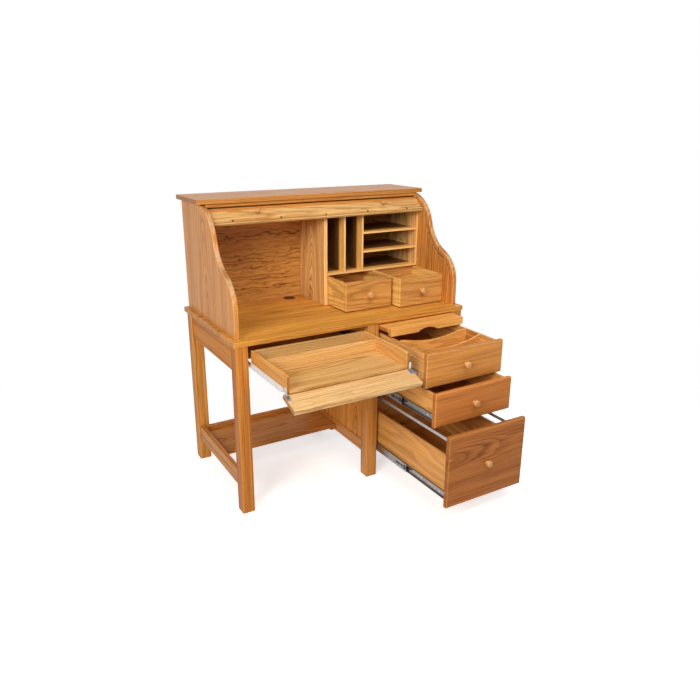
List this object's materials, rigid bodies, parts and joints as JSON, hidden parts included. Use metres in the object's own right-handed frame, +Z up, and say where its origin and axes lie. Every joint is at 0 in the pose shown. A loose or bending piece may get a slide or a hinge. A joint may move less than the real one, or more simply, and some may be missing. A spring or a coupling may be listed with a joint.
{
  "type": "roll-top desk",
  "caption": "Wooden roll-top desk with a right-hand drawer pedestal, a keyboard tray, a pull-out writing board, pigeonholes and a sliding tambour.",
  "frame": {"origin": "centre of the footprint, on the floor, with the drawers and the tray drawn out as in the picture", "axes": "+X to the desk's right as its user sees it, -Y to the front, where the drawers draw out, +Z up"},
  "size_m": [1.143, 1.166, 1.277],
  "materials": {
    "oak": "satin lacquer, honey stain",
    "pale_oak": "satin lacquer",
    "knob_wood": "satin lacquer",
    "slide_steel": "zinc plated",
    "tray_slide": "satin paint",
    "hang_rail": "satin",
    "hinge": "plated",
    "screw": "darkened",
    "grommet": "matte"
  },
  "bodies": {
    "desk": {"deck_top": "oak", "cable_grommet": "grommet", "left_legs": "oak", "pedestal_posts": "oak", "aprons": "oak", "stretchers": "oak", "footrest_boards": "oak", "support_cleats": "oak", "pedestal_side_rails": "oak", "pedestal_side_panels": "oak", "pedestal_back": "oak", "tray_dust_panel": "oak", "slide_outers": "slide_steel", "writing_board_runners": "oak", "gallery_end_left": "oak", "gallery_end_right": "oak", "gallery_top": "oak", "gallery_top_rail": "oak", "gallery_back": "oak", "gallery_inner_back": "oak", "pigeonhole_sides": "oak", "pigeonhole_shelves": "oak", "pigeonhole_dividers": "oak"},
    "tray": {"tray_sides": "oak", "tray_back": "oak", "tray_bottom": "oak", "pencil_divider": "oak", "tray_slide_inners": "tray_slide", "tray_hinge_leaves": "hinge"},
    "fall_front": {"fall_front": "pale_oak", "fall_front_hinge_leaves": "hinge"},
    "writing_board": {"writing_board": "oak", "writing_board_front": "oak"},
    "top_drawer": {"top_drawer_box": "oak", "top_drawer_front": "oak", "top_drawer_knob": "knob_wood", "top_drawer_slide_inners": "slide_steel", "top_drawer_dividers": "oak"},
    "middle_drawer": {"middle_drawer_box": "oak", "middle_drawer_front": "oak", "middle_drawer_knob": "knob_wood", "middle_drawer_slide_inners": "slide_steel"},
    "file_drawer": {"file_drawer_box": "oak", "file_drawer_front": "oak", "file_drawer_knob": "knob_wood", "file_drawer_slide_inners": "slide_steel", "file_hanging_rails": "hang_rail"},
    "top_slide_middle": {"top_drawer_slide_middles": "slide_steel"},
    "middle_slide_middle": {"middle_drawer_slide_middles": "slide_steel"},
    "file_slide_middle": {"file_drawer_slide_middles": "slide_steel"},
    "small_drawer_left": {"small_drawer_left_box": "oak", "small_drawer_left_knob": "knob_wood"},
    "small_drawer_right": {"small_drawer_right_box": "oak", "small_drawer_right_knob": "knob_wood"},
    "tambour_lead": {"tambour_lead_rail": "pale_oak", "tambour_knobs": "knob_wood", "tambour_slats": "oak", "tambour_rail_screws": "screw"},
    "tambour_top_run": {"tambour_top_slats": "oak"},
    "tambour_rear_run": {"tambour_rear_slats": "oak"}
  },
  "joints": [
    {"name": "tray_slide", "type": "slide", "parent": "desk", "child": "tray", "axis": [0, -1, 0], "range_m": [-0.341, 0.02]},
    {"name": "fall_front_hinge", "type": "hinge", "parent": "tray", "child": "fall_front", "pos_m": [-0.232, -0.369, 0.6487], "axis": [-1, 0, 0], "range_deg": [0, 108]},
    {"name": "writing_board_slide", "type": "slide", "parent": "desk", "child": "writing_board", "axis": [0, -1, 0], "range_m": [-0.084, 0.27]},
    {"name": "top_drawer_slide", "type": "slide", "parent": "desk", "child": "top_drawer", "axis": [0, -1, 0], "range_m": [-0.345, 0.185]},
    {"name": "top_slide_middle_travel", "type": "slide", "parent": "desk", "child": "top_slide_middle", "axis": [0, -1, 0], "range_m": [-0.1725, 0.0925]},
    {"name": "middle_drawer_slide", "type": "slide", "parent": "desk", "child": "middle_drawer", "axis": [0, -1, 0], "range_m": [-0.411, 0.119]},
    {"name": "middle_slide_middle_travel", "type": "slide", "parent": "desk", "child": "middle_slide_middle", "axis": [0, -1, 0], "range_m": [-0.2055, 0.0595]},
    {"name": "file_drawer_slide", "type": "slide", "parent": "desk", "child": "file_drawer", "axis": [0, -1, 0], "range_m": [-0.509, 0.021]},
    {"name": "file_slide_middle_travel", "type": "slide", "parent": "desk", "child": "file_slide_middle", "axis": [0, -1, 0], "range_m": [-0.2545, 0.0105]},
    {"name": "small_drawer_left_slide", "type": "slide", "parent": "desk", "child": "small_drawer_left", "axis": [0, -1, 0], "range_m": [-0.165, 0.06]},
    {"name": "small_drawer_right_slide", "type": "slide", "parent": "desk", "child": "small_drawer_right", "axis": [0, -1, 0], "range_m": [-0.215, 0.01]},
    {"name": "tambour_lead_turn", "type": "hinge", "parent": "desk", "child": "tambour_lead", "pos_m": [0, 0.345, 1.087], "axis": [1, 0, 0], "range_deg": [0, 26]},
    {"name": "tambour_top_travel", "type": "slide", "parent": "desk", "child": "tambour_top_run", "axis": [0, -1, 0], "range_m": [0, 0.06671]},
    {"name": "tambour_rear_travel", "type": "slide", "parent": "desk", "child": "tambour_rear_run", "axis": [0, 0, 1], "range_m": [0, 0.06671]}
  ],
  "couplings": [
    {"joint": "top_slide_middle_travel", "follows": "top_drawer_slide", "ratio": 0.5},
    {"joint": "middle_slide_middle_travel", "follows": "middle_drawer_slide", "ratio": 0.5},
    {"joint": "file_slide_middle_travel", "follows": "file_drawer_slide", "ratio": 0.5},
    {"joint": "tambour_top_travel", "follows": "tambour_lead_turn", "m_per_rad": 0.147},
    {"joint": "tambour_rear_travel", "follows": "tambour_lead_turn", "m_per_rad": 0.147}
  ]
}
